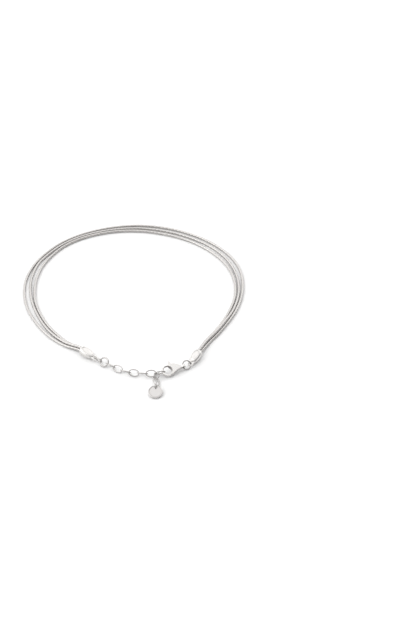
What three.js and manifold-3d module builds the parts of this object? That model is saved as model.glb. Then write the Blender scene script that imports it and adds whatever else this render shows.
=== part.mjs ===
// A three-strand silver anklet with a cable extender, a lobster clasp and a small disc drop.
// Millimetres, +Z up. It lies on the floor with its clasp side towards -Y.
import * as THREE from 'three';
import { mergeVertices } from 'three/addons/utils/BufferGeometryUtils.js';
import Module from 'manifold-3d';

const wasm = await Module();
wasm.setup();

// Driving dimensions of the strands and of the loop that they lie in
const loop_radius = 40.0;
const strand_diameter = 1.0;
const strand_clearance = 0.08;
const strand_sides = 8;
const strand_steps = 80;

// End caps: almond pods that hold the three strands
const cap_length = 7.6;
const cap_width = 3.5;
const cap_height = 2.7;
const cap_mouth_width = 2.9;
const cap_tab_thickness = 0.55;
const cap_tab_width = 2.0;
const cap_hole_diameter = 1.28;
const cap_hole_margin = 0.29;
const cap_rim_wire = 0.34;
const pocket_depth = 2.4;
const pocket_clearance = 0.06;

// Extender chain: oval links of round wire
const link_length = 4.05;
const link_width = 2.7;
const link_wire = 0.42;
const link_play = 0.16;
const end_play = 0.12;
const wire_sides = 6;

// The narrow oval loop in the left cap's tab
const cap_loop_length = 3.4;
const cap_loop_width = 2.15;
const cap_loop_wire = 0.44;

// Round jump rings
const jump_ring_1_diameter = 3.7;
const jump_ring_1_wire = 0.56;
const jump_ring_2_diameter = 3.6;
const jump_ring_2_wire = 0.5;
const disc_ring_diameter = 2.7;
const disc_ring_wire = 0.36;

// Disc drop
const disc_diameter = 5.1;
const disc_thickness = 0.7;
const disc_rim_width = 0.35;
const disc_rim_height = 0.12;
const disc_hole_diameter = 1.1;
const disc_hole_margin = 0.45;

// Lobster clasp
const clasp_length = 8.9;
const clasp_width = 4.3;
const clasp_thickness = 1.7;
const hook_gap_diameter = 3.0;
const hook_wire_width = 0.65;
const hook_thickness = 1.05;
const clasp_edge = 0.12;
const clasp_eye_diameter = 2.1;
const clasp_eye_hole = 1.2;
const clasp_eye_thickness = 0.85;
const lever_thickness = 0.6;
const lever_arm_width = 0.5;
const lever_hub_diameter = 1.3;
const lever_tab_length = 1.3;
const lever_clearance = 0.1;
const rivet_diameter = 0.6;
const lever_opening_degrees = 24;

const degrees = Math.PI / 180;

// Small helpers for vectors
const vec = (x, y, z) => new THREE.Vector3(x, y, z);
const headingVector = (heading, pitch = 0) => vec(
  Math.cos(heading * degrees) * Math.cos(pitch * degrees),
  Math.sin(heading * degrees) * Math.cos(pitch * degrees),
  Math.sin(pitch * degrees),
);

// A frame whose x runs along a heading, whose y is the piece's width and whose z is its normal.
// Roll 0 lies flat, and a positive roll lifts the width's left edge, seen along the heading.
function placed(centre, heading, roll = 0, pitch = 0) {
  const along = headingVector(heading, pitch);
  const level = vec(-Math.sin(heading * degrees), Math.cos(heading * degrees), 0);
  const width = level.clone().applyAxisAngle(along, roll * degrees);
  const normal = along.clone().cross(width);
  const matrix = new THREE.Matrix4().makeBasis(along, width, normal);
  matrix.setPosition(centre);
  return matrix;
}

// Closed solids as booleans need them
function toSolid(geometry) {
  const bare = geometry.clone();
  bare.deleteAttribute('normal');
  bare.deleteAttribute('uv');
  const merged = mergeVertices(bare, 1e-4);
  const index = merged.index.array;
  return new wasm.Manifold(new wasm.Mesh({
    numProp: 3,
    vertProperties: new Float32Array(merged.attributes.position.array),
    triVerts: new Uint32Array(index),
  }));
}

function toGeometry(solid) {
  const mesh = solid.getMesh();
  const geometry = new THREE.BufferGeometry();
  geometry.setAttribute('position', new THREE.BufferAttribute(new Float32Array(mesh.vertProperties), 3));
  geometry.setIndex(new THREE.BufferAttribute(new Uint32Array(mesh.triVerts), 1));
  geometry.computeVertexNormals();
  return geometry;
}

const joined = (first, ...others) => others.reduce((solid, other) => solid.add(other), first);

// Rings of points joined into one skin. A closed skin joins its last ring to its first,
// and an open one is closed by a fan at each end.
function skin(rings, closed) {
  const count = rings[0].length;
  const positions = rings.flat().flatMap((p) => [p.x, p.y, p.z]);
  const faces = [];
  const last = closed ? rings.length : rings.length - 1;
  for (let i = 0; i < last; i += 1) {
    const a = i * count;
    const b = ((i + 1) % rings.length) * count;
    for (let j = 0; j < count; j += 1) {
      const k = (j + 1) % count;
      faces.push(a + j, a + k, b + k, a + j, b + k, b + j);
    }
  }
  if (!closed) {
    const end = (rings.length - 1) * count;
    for (let j = 1; j < count - 1; j += 1) {
      faces.push(0, j + 1, j);
      faces.push(end, end + j, end + j + 1);
    }
  }
  const geometry = new THREE.BufferGeometry();
  geometry.setAttribute('position', new THREE.Float32BufferAttribute(positions, 3));
  geometry.setIndex(faces);
  geometry.computeVertexNormals();
  return geometry;
}

// A closed oval loop of wire in the XY plane
function wireLoop(length, width, wire, steps = 20, sides = wire_sides) {
  const halfLength = (length - wire) / 2;
  const halfWidth = (width - wire) / 2;
  const rings = [];
  for (let i = 0; i < steps; i += 1) {
    const angle = (i / steps) * 2 * Math.PI;
    const middle = vec(halfLength * Math.cos(angle), halfWidth * Math.sin(angle), 0);
    const out = vec(halfWidth * Math.cos(angle), halfLength * Math.sin(angle), 0).normalize();
    const ring = [];
    for (let j = 0; j < sides; j += 1) {
      const turn = ((j + 0.5) / sides) * 2 * Math.PI;
      const offset = out.clone().multiplyScalar((Math.cos(turn) * wire) / 2);
      ring.push(middle.clone().add(offset).add(vec(0, 0, (Math.sin(turn) * wire) / 2)));
    }
    rings.push(ring.reverse());
  }
  return skin(rings, true);
}

// A flat shape given a thickness about z = 0, with softened edges
function plate(shape, thickness, edge) {
  const geometry = new THREE.ExtrudeGeometry(shape, {
    depth: thickness - 2 * edge,
    bevelEnabled: edge > 0,
    bevelThickness: edge,
    bevelSize: edge,
    bevelOffset: -edge,
    bevelSegments: 2,
    curveSegments: 14,
  });
  geometry.translate(0, 0, -thickness / 2 + edge);
  return geometry;
}

// A round post along z, about z = 0
function post(diameter, height, sides = 20) {
  const geometry = new THREE.CylinderGeometry(diameter / 2, diameter / 2, height, sides);
  geometry.rotateX(Math.PI / 2);
  return geometry;
}

// Part of a ring from one angle to another, with round ends
function arcBand(radius, width, fromDegrees, toDegrees) {
  const shape = new THREE.Shape();
  const from = fromDegrees * degrees;
  const to = toDegrees * degrees;
  const half = width / 2;
  shape.absarc(0, 0, radius + half, from, to, false);
  shape.absarc(radius * Math.cos(to), radius * Math.sin(to), half, to, to + Math.PI, false);
  shape.absarc(0, 0, radius - half, to, from, true);
  const start = from + Math.PI;
  shape.absarc(radius * Math.cos(from), radius * Math.sin(from), half, start, start + Math.PI, false);
  return shape;
}

// Materials
const metal = (color, roughness) => new THREE.MeshStandardMaterial({ color, roughness, metalness: 1 });
const materialKinds = {
  strand: [0xd9d6d2, 0.3],
  cap: [0xe4e1dd, 0.28],
  wire: [0xdedbd7, 0.2],
  clasp: [0xe2dfdb, 0.18],
  disc: [0xe6e2de, 0.35],
};

const anklet = new THREE.Group();

function addPiece(name, geometry, kind, matrix = new THREE.Matrix4()) {
  const mesh = new THREE.Mesh(geometry, metal(...materialKinds[kind]));
  mesh.name = name;
  mesh.applyMatrix4(matrix);
  anklet.add(mesh);
  return mesh;
}

// End cap in its own frame: x runs from the mouth to the tab, z is up, and the axis of the bundle is x.
// Sections: share of cap_length, share of the way from mouth width to full width, share of cap_height
const strand_spacing = strand_diameter + strand_clearance;
const bundle = [
  { across: 0.5 * strand_spacing, up: (-Math.sqrt(3) / 6) * strand_spacing },
  { across: 0, up: (Math.sqrt(3) / 3) * strand_spacing },
  { across: -0.5 * strand_spacing, up: (-Math.sqrt(3) / 6) * strand_spacing },
];
const cap_tab_start = cap_length - cap_hole_diameter - 2 * cap_hole_margin;
const cap_hole_place = cap_length - cap_hole_margin - cap_hole_diameter / 2;
const capSections = [
  { along: 0.0, width: cap_mouth_width, height: cap_height * 0.96 },
  { along: 0.04, width: cap_mouth_width * 1.04, height: cap_height },
  { along: 0.2, width: cap_width * 0.97, height: cap_height },
  { along: 0.4, width: cap_width, height: cap_height * 0.99 },
  { along: 0.62, width: cap_width * 0.92, height: cap_height * 0.88 },
  { along: 0.84, width: cap_width * 0.76, height: cap_height * 0.62 },
  { along: 1.0, width: cap_tab_width, height: cap_tab_thickness },
];

function capSection(along, width, height, points = 24) {
  const ring = [];
  const squareness = 0.8;
  for (let i = 0; i < points; i += 1) {
    const angle = (i / points) * 2 * Math.PI;
    const c = Math.cos(angle);
    const s = Math.sin(angle);
    ring.push(vec(
      along,
      (Math.sign(c) * Math.abs(c) ** squareness * width) / 2,
      (Math.sign(s) * Math.abs(s) ** squareness * height) / 2,
    ));
  }
  return ring;
}

function capTopHeight(along, across) {
  const share = along / cap_tab_start;
  let k = 0;
  while (k < capSections.length - 2 && capSections[k + 1].along < share) k += 1;
  const low = capSections[k];
  const high = capSections[k + 1];
  const mix = (share - low.along) / (high.along - low.along);
  const width = low.width + (high.width - low.width) * mix;
  const height = low.height + (high.height - low.height) * mix;
  const inside = Math.max(0, 1 - Math.abs((2 * across) / width) ** 2.5);
  return (height / 2) * inside ** 0.4;
}

function capRim() {
  const rings = [];
  const steps = 28;
  const sides = 6;
  const start = cap_tab_start * 0.07;
  const end = cap_tab_start * 0.97;
  const points = [];
  for (let i = 0; i < steps; i += 1) {
    const angle = (i / steps) * 2 * Math.PI;
    const along = (start + end) / 2 + (Math.cos(angle) * (end - start)) / 2;
    const lens = Math.sign(Math.sin(angle)) * Math.abs(Math.sin(angle)) ** 1.15;
    const across = lens * cap_width * 0.34;
    points.push(vec(along, across, capTopHeight(along, across)));
  }
  points.forEach((point, i) => {
    const before = points[(i + steps - 1) % steps];
    const after = points[(i + 1) % steps];
    const tangent = after.clone().sub(before).normalize();
    const side = tangent.clone().cross(vec(0, 0, 1)).normalize();
    const up = side.clone().cross(tangent);
    const ring = [];
    for (let j = 0; j < sides; j += 1) {
      const turn = (j / sides) * 2 * Math.PI;
      const sideways = side.clone().multiplyScalar((Math.cos(turn) * cap_rim_wire) / 2);
      const upwards = up.clone().multiplyScalar((Math.sin(turn) * cap_rim_wire) / 2);
      ring.push(point.clone().add(sideways).add(upwards));
    }
    rings.push(ring.reverse());
  });
  return skin(rings, true);
}

function endCap() {
  const rings = capSections.map((s) => capSection(s.along * cap_tab_start, s.width, s.height));
  let solid = toSolid(skin(rings, false));
  const tab = new THREE.Shape();
  const half = cap_tab_width / 2;
  tab.moveTo(cap_tab_start - 0.4 * cap_tab_width, -half * 0.9);
  tab.lineTo(cap_length - half, -half);
  tab.absarc(cap_length - half, 0, half, -Math.PI / 2, Math.PI / 2, false);
  tab.lineTo(cap_tab_start - 0.4 * cap_tab_width, half * 0.9);
  solid = joined(solid, toSolid(plate(tab, cap_tab_thickness, 0.12)), toSolid(capRim()));
  const hole = post(cap_hole_diameter, cap_height * 2);
  hole.translate(cap_hole_place, 0, 0);
  solid = solid.subtract(toSolid(hole));
  for (const lane of bundle) {
    const pocket = post(strand_diameter + 2 * pocket_clearance, 2 * pocket_depth, 16);
    pocket.rotateY(Math.PI / 2);
    pocket.translate(0, lane.across, lane.up);
    solid = solid.subtract(toSolid(pocket));
  }
  return toGeometry(solid);
}

// Where the pieces of the fastening lie, from the left cap's mouth round to the right cap's mouth.
// Headings are degrees from +X in the floor plane.
const left_cap_mouth = vec(-0.43 * loop_radius, -0.7725 * loop_radius, cap_height / 2);
const left_cap_heading = -42;
const right_cap_heading = 65;
const capGeometry = endCap();

const leftCapAxis = headingVector(left_cap_heading);
addPiece('end_cap_left', capGeometry, 'cap', placed(left_cap_mouth, left_cap_heading));

const leftHole = left_cap_mouth.clone().addScaledVector(leftCapAxis, cap_hole_place);
const cap_loop_heading = -35;
const cap_loop_roll = 104;
const capLoopCentre = leftHole.clone()
  .addScaledVector(headingVector(cap_loop_heading), (cap_loop_length - cap_loop_wire) / 2);
addPiece(
  'cap_loop',
  wireLoop(cap_loop_length, cap_loop_width, cap_loop_wire),
  'wire',
  placed(capLoopCentre, cap_loop_heading, cap_loop_roll),
);

// The chain walks on from the loop. Each piece's inner half length and the next one's set the step.
const innerHalf = (length, wire) => length / 2 - wire;
const step = (a, b) => a + b - link_play;
const lift = (width, wire, roll) => ((width - wire) / 2) * Math.abs(Math.sin(roll * degrees)) + wire / 2;

const jump_ring_1_roll = 45;
const jump_ring_1_heading = -30;
const linkInner = innerHalf(link_length, link_wire);
const ring1Inner = innerHalf(jump_ring_1_diameter, jump_ring_1_wire);
const loopInner = innerHalf(cap_loop_length, cap_loop_wire);

let here = capLoopCentre.clone();
here.addScaledVector(headingVector(jump_ring_1_heading), step(loopInner, ring1Inner));
here.z = lift(jump_ring_1_diameter, jump_ring_1_wire, jump_ring_1_roll);
addPiece(
  'jump_ring_1',
  wireLoop(jump_ring_1_diameter, jump_ring_1_diameter, jump_ring_1_wire),
  'wire',
  placed(here, jump_ring_1_heading, jump_ring_1_roll),
);

// Links of the extender: heading, roll and how far each is raised off the floor, in link wires
const chainLinks = [
  { heading: -34, roll: -45, raised: 0.4 },
  { heading: -30, roll: 45, raised: 0.1 },
  { heading: -20, roll: -45, raised: 0 },
  { heading: -13, roll: 45, raised: 0.2 },
  { heading: -6, roll: -45, raised: 0.8 },
  { heading: 1, roll: 34, raised: 1.3 },
  { heading: 12, roll: 118, raised: 0.7 },
];
const linkGeometry = wireLoop(link_length, link_width, link_wire);
let reach = ring1Inner;
let lastHeading = jump_ring_1_heading;
chainLinks.forEach((link, i) => {
  const between = (lastHeading + link.heading) / 2;
  here = here.clone().addScaledVector(headingVector(between), step(reach, linkInner));
  here.z = lift(link_width, link_wire, link.roll) + link.raised * link_wire;
  link.centre = here;
  addPiece(`link_${i + 1}`, linkGeometry, 'wire', placed(here, link.heading, link.roll));
  reach = linkInner;
  lastHeading = link.heading;
});
const hookedLink = chainLinks[chainLinks.length - 1];

// Lobster clasp in its own frame: x runs from the hook to the tail eye, y towards the lever's tab,
// and the hook's gap is round about the origin.
const hook_radius = hook_gap_diameter / 2 + hook_wire_width / 2;
const clasp_eye_place = clasp_length - hook_radius - hook_wire_width / 2 - clasp_eye_diameter / 2;
const lever_arm_radius = hook_gap_diameter / 2 + lever_arm_width / 2;
const lever_arm_start = -32;
const lever_arm_end = 108;
const hook_tip_angle = 128;
const hook_root_angle = 312;
const shoulder = clasp_width - hook_gap_diameter / 2 - hook_wire_width;
const hub = vec(
  (lever_arm_radius + 0.12 * lever_hub_diameter) * Math.cos(lever_arm_start * degrees),
  (lever_arm_radius + 0.12 * lever_hub_diameter) * Math.sin(lever_arm_start * degrees),
  0,
);

function claspBodyOutline() {
  const tail = clasp_eye_thickness / 2;
  const tail_end = clasp_eye_place - clasp_eye_diameter * 0.3;
  const shape = new THREE.Shape();
  shape.moveTo(hook_gap_diameter * 0.3, shoulder * 0.9);
  shape.quadraticCurveTo(hook_gap_diameter * 0.45, shoulder * 1.04, hook_gap_diameter * 0.72, shoulder);
  shape.quadraticCurveTo(clasp_eye_place * 0.66, shoulder * 0.8, tail_end, tail);
  shape.lineTo(tail_end, -tail);
  shape.quadraticCurveTo(clasp_eye_place * 0.62, -tail * 1.4, hook_radius * 0.98, -hook_radius * 0.86);
  shape.lineTo(hook_radius * 0.3, -hook_radius * 0.98);
  shape.lineTo(hook_radius * 0.3, 0);
  return shape;
}

// The hook and the body lie flat, and the eye at the tail stands across them
function claspBody() {
  let solid = toSolid(plate(claspBodyOutline(), clasp_thickness, clasp_edge));
  const gap = toSolid(post(hook_gap_diameter, clasp_thickness * 2, 32));
  solid = solid.subtract(gap);
  const hook = arcBand(hook_radius, hook_wire_width, hook_tip_angle, hook_root_angle);
  const eye = post(clasp_eye_diameter, clasp_eye_thickness, 24);
  const eyeHole = post(clasp_eye_hole, clasp_width * 2, 20);
  for (const turned of [eye, eyeHole]) {
    turned.rotateX(Math.PI / 2);
    turned.translate(clasp_eye_place, 0, 0);
  }
  solid = joined(solid, toSolid(plate(hook, hook_thickness, 0.2)), toSolid(eye));
  solid = solid.subtract(toSolid(eyeHole));
  solid = solid.subtract(leverSlot());
  const rivet = post(rivet_diameter, clasp_thickness, 12);
  rivet.translate(hub.x, hub.y, 0);
  return toGeometry(solid.add(toSolid(rivet)));
}

// The lever: a hub on the rivet, an arm round the gap's open side, and a tab for the thumb
function leverOutline(margin) {
  const arm = arcBand(lever_arm_radius, lever_arm_width + 2 * margin, lever_arm_start, lever_arm_end);
  const tab = new THREE.Shape();
  const foot = lever_arm_radius * 0.8;
  tab.moveTo(foot * 0.3 - margin, shoulder * 0.72);
  tab.lineTo(foot * 0.78 - margin, shoulder + lever_tab_length * 0.7);
  tab.lineTo(foot * 0.9 - margin, shoulder + lever_tab_length + margin);
  tab.lineTo(foot * 1.2 + margin, shoulder + lever_tab_length + margin);
  tab.lineTo(foot * 1.62 + margin, shoulder * 0.9);
  tab.lineTo(foot * 1.1 + margin, shoulder * 0.4);
  return [arm, tab];
}

function claspLever() {
  const [arm, tab] = leverOutline(0);
  const hubPost = post(lever_hub_diameter, lever_thickness);
  hubPost.translate(hub.x, hub.y, 0);
  let solid = joined(
    toSolid(plate(arm, lever_thickness, 0.1)),
    toSolid(plate(tab, lever_thickness, 0.1)),
    toSolid(hubPost),
  );
  const bore = post(rivet_diameter + 2 * lever_clearance, clasp_thickness * 2, 12);
  bore.translate(hub.x, hub.y, 0);
  solid = solid.subtract(toSolid(bore));
  const gap = post(hook_gap_diameter, clasp_thickness * 2, 32);
  return toGeometry(solid.subtract(toSolid(gap)));
}

// The slot takes the lever at rest and through its swing
function leverSlot() {
  const slot_thickness = lever_thickness + 2 * lever_clearance;
  const hubSpace = post(lever_hub_diameter + 2 * lever_clearance, slot_thickness);
  hubSpace.translate(hub.x, hub.y, 0);
  let solid = toSolid(hubSpace);
  const steps = 8;
  for (let i = 0; i <= steps; i += 1) {
    const turn = -((lever_opening_degrees + 1) * degrees * i) / steps;
    for (const outline of leverOutline(lever_clearance)) {
      const space = plate(outline, slot_thickness, 0);
      space.translate(-hub.x, -hub.y, 0);
      space.rotateZ(turn);
      space.translate(hub.x, hub.y, 0);
      solid = solid.add(toSolid(space));
    }
  }
  return solid;
}

const clasp_heading = 24;
const clasp_roll = 26;
const claspAxis = headingVector(clasp_heading);
const hookBar = hook_radius - hook_wire_width / 2 - link_wire / 2 - link_play - end_play;
const claspOrigin = hookedLink.centre.clone()
  .addScaledVector(headingVector(hookedLink.heading), (link_length - link_wire) / 2)
  .addScaledVector(claspAxis, hookBar);
const restingOn = (out, thickness) => (
  out * Math.sin(clasp_roll * degrees) + (thickness / 2) * Math.cos(clasp_roll * degrees)
);
claspOrigin.z = Math.max(
  restingOn(clasp_width - shoulder, hook_thickness),
  restingOn(hook_radius * 0.92, clasp_thickness),
);
const claspFrame = placed(claspOrigin, clasp_heading, clasp_roll);
addPiece('clasp_body', claspBody(), 'clasp', claspFrame);
addPiece('clasp_lever', claspLever(), 'clasp', claspFrame);

// The second jump ring joins the clasp's eye to the right cap's tab
const jump_ring_2_heading = 31;
const jump_ring_2_roll = 52;
const eyeCentre = vec(clasp_eye_place, 0, 0).applyMatrix4(claspFrame);
const ring2Radius = (jump_ring_2_diameter - jump_ring_2_wire) / 2;
const ring2Height = lift(jump_ring_2_diameter, jump_ring_2_wire, jump_ring_2_roll);

// From a tilted ring's centre to the point of its wire that lies at a height, before or beyond it
function toWire(radius, heading, roll, height, beyond) {
  const across = height / Math.sin(roll * degrees);
  const along = Math.sqrt(radius ** 2 - across ** 2) * (beyond ? 1 : -1);
  return vec(along, across, 0).applyMatrix4(placed(vec(0, 0, 0), heading, roll));
}
const ring2Wire = (height, beyond) => toWire(
  ring2Radius, jump_ring_2_heading, jump_ring_2_roll, height - ring2Height, beyond,
);
const ring2Centre = eyeCentre.clone().sub(ring2Wire(eyeCentre.z, false));
addPiece(
  'jump_ring_2',
  wireLoop(jump_ring_2_diameter, jump_ring_2_diameter, jump_ring_2_wire),
  'wire',
  placed(ring2Centre, jump_ring_2_heading, jump_ring_2_roll),
);

const rightCapAxis = headingVector(right_cap_heading);
const rightHole = ring2Centre.clone().add(ring2Wire(cap_height / 2, true));
const rightCapMouth = rightHole.clone().addScaledVector(rightCapAxis, cap_hole_place);
rightCapMouth.z = cap_height / 2;
addPiece('end_cap_right', capGeometry, 'cap', placed(rightCapMouth, right_cap_heading + 180));

// The tail hangs from the hooked link towards -Y and ends in the disc
const tail_roll = 33;
const tailPlace = link_length * 0.27;
const tailStart = hookedLink.centre.clone()
  .addScaledVector(headingVector(hookedLink.heading), -tailPlace);
const hookedSide = ((link_width - link_wire) / 2)
  * Math.sqrt(1 - ((2 * tailPlace) / (link_length - link_wire)) ** 2);
const hookedWireBack = -hookedSide * Math.cos(hookedLink.roll * degrees);
const tailLinks = [
  { name: 'tail_link_1', heading: -92, roll: tail_roll, raised: 0.3 },
  { name: 'tail_link_2', heading: -90, roll: -tail_roll, raised: 0.5 },
];
let tailHere = tailStart.clone().add(vec(0, hookedWireBack, 0));
let tailReach = -link_wire / 2 - link_play;
for (const link of tailLinks) {
  tailHere = tailHere.clone().addScaledVector(headingVector(link.heading), tailReach + linkInner);
  tailHere.z = lift(link_width, link_wire, link.roll) + link.raised * link_wire;
  addPiece(link.name, linkGeometry, 'wire', placed(tailHere, link.heading, link.roll));
  tailReach = linkInner - link_play;
}

const disc_heading = -92;
const disc_ring_roll = 80;
const disc_pitch = -15;
const discRingInner = innerHalf(disc_ring_diameter, disc_ring_wire);
const discRingCentre = tailHere.clone()
  .addScaledVector(headingVector(disc_heading), tailReach + discRingInner - end_play);
discRingCentre.z = lift(disc_ring_diameter, disc_ring_wire, disc_ring_roll);
addPiece(
  'disc_ring',
  wireLoop(disc_ring_diameter, disc_ring_diameter, disc_ring_wire),
  'wire',
  placed(discRingCentre, disc_heading, disc_ring_roll),
);

// The disc is turned about its axis: a flat face with a low raised rim, and a hole near its edge
const disc_hole_place = disc_diameter / 2 - disc_hole_margin - disc_hole_diameter / 2;
function discDrop() {
  const r = disc_diameter / 2;
  const inner = r - disc_rim_width;
  const t = disc_thickness;
  const edge = 0.12;
  const profile = [
    [0, 0], [r - edge, 0], [r, edge], [r, t - edge],
    [r - edge, t], [inner + edge, t], [inner, t - disc_rim_height], [0, t - disc_rim_height],
  ].map(([x, y]) => new THREE.Vector2(x, y));
  const geometry = new THREE.LatheGeometry(profile, 40);
  geometry.rotateX(Math.PI / 2);
  const hole = post(disc_hole_diameter, 4 * t);
  hole.translate(-disc_hole_place, 0, 0);
  return toGeometry(toSolid(geometry).subtract(toSolid(hole)));
}
const discTilt = -disc_pitch * degrees;
const discCentre = discRingCentre.clone().addScaledVector(
  headingVector(disc_heading),
  discRingInner + disc_ring_wire / 2 + disc_hole_place * Math.cos(discTilt),
);
discCentre.z = (disc_diameter / 2) * Math.sin(discTilt);
addPiece('disc', discDrop(), 'disc', placed(discCentre, disc_heading, 0, disc_pitch));

// Routes of the strands, a few points chosen by hand. Turn is in degrees round the loop from -Y
// by way of -X, out is the distance from the loop's centre as a share of loop_radius, and up is
// the height of the strand above the floor in strand diameters.
const route_points = [
  { turn: 41, out: [0.914, 0.89, 0.866], up: [0.0, 0.6, 0.0] },
  { turn: 51, out: [0.932, 0.895, 0.866], up: [0.0, 0.12, 0.0] },
  { turn: 62, out: [0.948, 0.902, 0.874], up: [0.0, 0.0, 0.0] },
  { turn: 76, out: [0.98, 0.921, 0.893], up: [0.0, 0.0, 0.0] },
  { turn: 86, out: [1.005, 0.945, 0.913], up: [0.0, 0.0, 0.0] },
  { turn: 95, out: [1.028, 0.972, 0.93], up: [0.0, 0.0, 0.0] },
  { turn: 105, out: [1.048, 1.003, 0.954], up: [0.0, 0.0, 0.0] },
  { turn: 116, out: [1.06, 1.031, 0.979], up: [0.0, 0.0, 0.0] },
  { turn: 126, out: [1.063, 1.034, 0.995], up: [0.0, 0.0, 0.0] },
  { turn: 137, out: [1.066, 1.037, 1.008], up: [0.0, 0.0, 0.0] },
  { turn: 150, out: [1.059, 1.03, 1.002], up: [0.0, 0.0, 0.0] },
  { turn: 166, out: [1.05, 1.014, 0.983], up: [0.0, 0.0, 0.0] },
  { turn: 182, out: [1.05, 1.006, 0.965], up: [0.0, 0.0, 0.0] },
  { turn: 198, out: [1.048, 0.999, 0.953], up: [0.0, 0.0, 0.0] },
  { turn: 212, out: [1.052, 1.002, 0.956], up: [0.0, 0.0, 0.0] },
  { turn: 224, out: [1.06, 1.012, 0.96], up: [0.0, 0.0, 0.0] },
  { turn: 236, out: [1.065, 1.014, 0.967], up: [0.0, 0.0, 0.0] },
  { turn: 247, out: [1.058, 1.006, 0.966], up: [0.0, 0.0, 0.0] },
  { turn: 258, out: [1.033, 0.991, 0.956], up: [0.0, 0.0, 0.0] },
  { turn: 270, out: [1.001, 0.97, 0.939], up: [0.0, 0.0, 0.0] },
  { turn: 283, out: [0.97, 0.942, 0.913], up: [0.0, 0.0, 0.0] },
  { turn: 295, out: [0.948, 0.926, 0.901], up: [0.0, 0.7, 0.0] },
  { turn: 305, out: [0.947, 0.928, 0.905], up: [0.0, 0.78, 0.0] },
  { turn: 313, out: [0.957, 0.938, 0.918], up: [0.05, 0.88, 0.05] },
];

function strandRoute(lane) {
  const ends = [
    { mouth: left_cap_mouth, heading: left_cap_heading, side: -1 },
    { mouth: rightCapMouth, heading: right_cap_heading + 180, side: 1 },
  ].map(({ mouth, heading, side }) => {
    const frame = placed(mouth, heading);
    const across = side * bundle[lane].across;
    const inPocket = pocket_depth - 2 * pocket_clearance;
    return [inPocket, inPocket * 0.5, 0, -strand_diameter].map(
      (along) => vec(along, across, bundle[lane].up).applyMatrix4(frame),
    );
  });
  const middle = route_points.map((row) => {
    const radius = row.out[lane] * loop_radius;
    const turn = row.turn * degrees;
    const height = (0.5 + row.up[lane]) * strand_diameter;
    return vec(-Math.sin(turn) * radius, -Math.cos(turn) * radius, height);
  });
  return [...ends[0], ...middle, ...ends[1].reverse()];
}

function strand(lane) {
  const section = new THREE.Shape();
  for (let i = 0; i < strand_sides; i += 1) {
    const angle = ((i + 0.5) / strand_sides) * 2 * Math.PI;
    const x = (Math.cos(angle) * strand_diameter) / 2;
    const y = (Math.sin(angle) * strand_diameter) / 2;
    if (i === 0) section.moveTo(x, y);
    else section.lineTo(x, y);
  }
  section.closePath();
  const path = new THREE.CatmullRomCurve3(strandRoute(lane), false, 'centripetal');
  return new THREE.ExtrudeGeometry(section, {
    steps: strand_steps,
    extrudePath: path,
    bevelEnabled: false,
  });
}
for (const lane of [0, 1, 2]) addPiece(`strand_${lane + 1}`, strand(lane), 'strand');

// The origin is the middle of the footprint, on the floor
const bounds = new THREE.Box3().setFromObject(anklet, true);
const middle = bounds.getCenter(vec(0, 0, 0));
anklet.position.set(-middle.x, -middle.y, -bounds.min.z);
anklet.updateMatrixWorld(true);

export default anklet;
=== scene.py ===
"""Silver anklet of three snake chain strands, with its fastening, laid out on a pale floor."""
import math

import bpy
import numpy as np
from bpy.props import FloatProperty, FloatVectorProperty, IntProperty, PointerProperty
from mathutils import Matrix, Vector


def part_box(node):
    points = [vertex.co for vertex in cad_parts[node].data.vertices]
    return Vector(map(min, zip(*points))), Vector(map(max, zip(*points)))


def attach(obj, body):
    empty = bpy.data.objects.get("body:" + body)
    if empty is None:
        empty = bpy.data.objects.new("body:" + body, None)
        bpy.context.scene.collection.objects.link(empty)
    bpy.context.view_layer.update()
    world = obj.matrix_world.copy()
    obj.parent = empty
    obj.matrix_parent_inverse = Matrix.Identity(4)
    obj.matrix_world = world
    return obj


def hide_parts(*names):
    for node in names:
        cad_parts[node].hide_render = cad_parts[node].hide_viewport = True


bl_info = {
    "name": "Three-strand silver anklet",
    "version": (1, 0, 0),
    "blender": (4, 5, 0),
    "location": "View3D > Sidebar > Anklet",
    "description": "Makes the strands, caps, rings, clasp and disc of a silver anklet, and its studio",
    "category": "Object",
}

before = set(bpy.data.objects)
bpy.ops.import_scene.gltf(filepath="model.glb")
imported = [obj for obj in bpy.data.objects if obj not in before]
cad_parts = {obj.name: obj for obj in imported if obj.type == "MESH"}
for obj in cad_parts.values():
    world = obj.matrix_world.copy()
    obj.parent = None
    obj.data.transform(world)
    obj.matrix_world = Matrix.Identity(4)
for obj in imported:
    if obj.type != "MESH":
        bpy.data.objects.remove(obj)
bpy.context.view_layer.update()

MM = 0.001

# The loop's middle in the row frame, and the mouths of the two end caps
LOOP_CENTRE = np.array([0.2470, 6.0663, 0.0152]) * MM
LOOP_RADIUS = 40.0 * MM
LEFT_MOUTH = np.array([-16.953, -24.834, 1.365]) * MM
LEFT_HEADING = -42.0
RIGHT_MOUTH = np.array([24.401, -26.209, 1.365]) * MM
RIGHT_HEADING = 245.0
POCKET_DEPTH = 2.28 * MM
STRAND_SPACING = 1.08 * MM

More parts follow.
